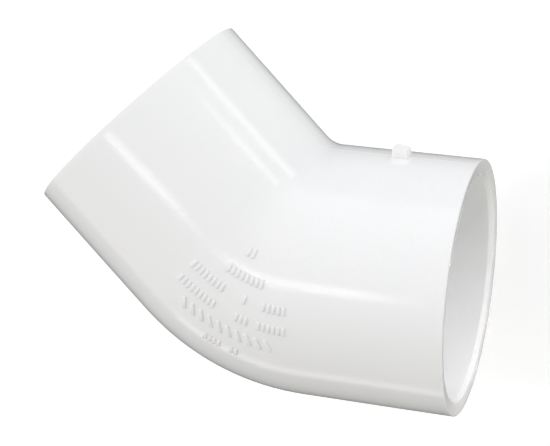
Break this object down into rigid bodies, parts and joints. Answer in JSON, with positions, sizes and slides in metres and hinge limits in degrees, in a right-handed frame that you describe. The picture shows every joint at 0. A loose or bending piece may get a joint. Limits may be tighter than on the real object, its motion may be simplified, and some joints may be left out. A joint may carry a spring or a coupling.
{
  "type": "pipe elbow",
  "caption": "White PVC 45-degree pipe elbow with a slip socket on each leg, a smooth outer bend, a torn gate stub and rows of plain raised marks.",
  "frame": {"origin": "on socket B's axis at its pipe stop, where the end of a pipe seats", "axes": "+X along socket B's axis, out of its mouth; the bend turns towards +Y, so socket A's axis lies in the XY plane, 135 degrees from +X; +Z square to both axes, up when the fitting lies on its side"},
  "size_m": [0.145, 0.1192, 0.0843],
  "materials": {
    "pvc_white": "moulded semi-gloss with a fine orange peel",
    "pvc_gate": "torn, satin",
    "pvc_marks": "moulded semi-gloss"
  },
  "bodies": {
    "root": {"socket_b": "pvc_white", "bend": "pvc_white", "socket_a": "pvc_white", "gate_stub": "pvc_gate", "size_mark": "pvc_marks", "maker_mark": "pvc_marks", "schedule_mark": "pvc_marks", "material_mark": "pvc_marks", "certification_mark": "pvc_marks", "cavity_mark": "pvc_marks"}
  },
  "joints": []
}
